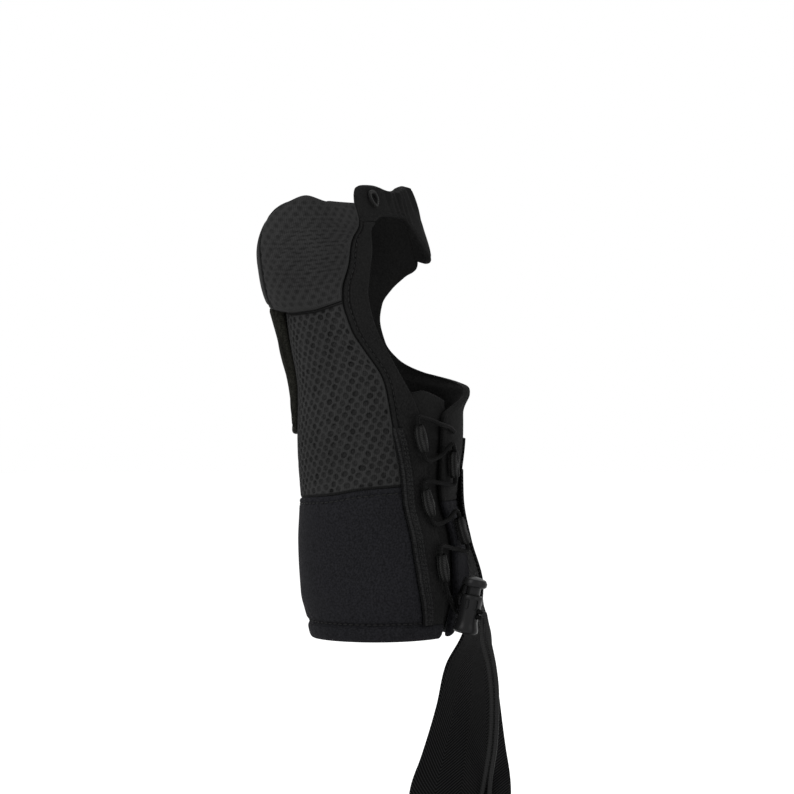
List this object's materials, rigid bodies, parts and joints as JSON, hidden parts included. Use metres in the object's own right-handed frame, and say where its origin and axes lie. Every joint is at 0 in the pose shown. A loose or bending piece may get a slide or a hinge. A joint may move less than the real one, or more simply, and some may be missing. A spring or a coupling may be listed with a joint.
{
  "type": "wrist support",
  "caption": "Soft wrist brace for a right hand: knit cuff and mesh panels with a padded dome on the little-finger edge, a laced palm side with a cord lock, and a hanging pull strap.",
  "frame": {"origin": "middle of the wrist inside the brace, where the arm that wears it holds it up", "axes": "+Z along the forearm towards the fingers, +Y towards the back of the hand, +X towards the thumb side"},
  "size_m": [0.1272, 0.1281, 0.3163],
  "materials": {
    "mesh": "black spacer mesh with round dimples",
    "knit": "matt black close knit over thin foam",
    "tape": "black woven binding, stitched",
    "webbing": "black twill webbing, slightly shiny",
    "cord": "black round braided cord",
    "plastic": "moulded, glossy black"
  },
  "bodies": {
    "brace": {"mesh_panel": "mesh", "ulnar_pad": "mesh", "palm_band": "knit", "forearm_cuff": "knit", "back_panel": "knit", "cuff_hem": "knit", "lacing_tongue": "knit", "web_strap": "knit", "pad_rim": "tape", "stay_pocket": "tape", "seam_tape": "tape", "web_loop": "webbing", "lace_loop_1": "webbing", "lace_loop_2": "webbing", "lace_loop_3": "webbing", "lace_loop_4": "webbing", "lace_loop_5": "webbing", "strap_anchor": "webbing", "pull_strap": "webbing", "lace": "cord", "lace_end": "cord", "lace_tail": "cord", "cord_lock_barrel": "plastic"},
    "button": {"cord_lock_button": "plastic"}
  },
  "joints": [
    {"name": "button_press", "type": "slide", "parent": "brace", "child": "button", "axis": [-0.106, 0.169, -0.9799], "range_m": [0, 0.0035], "stiffness_N_per_m": 250}
  ]
}
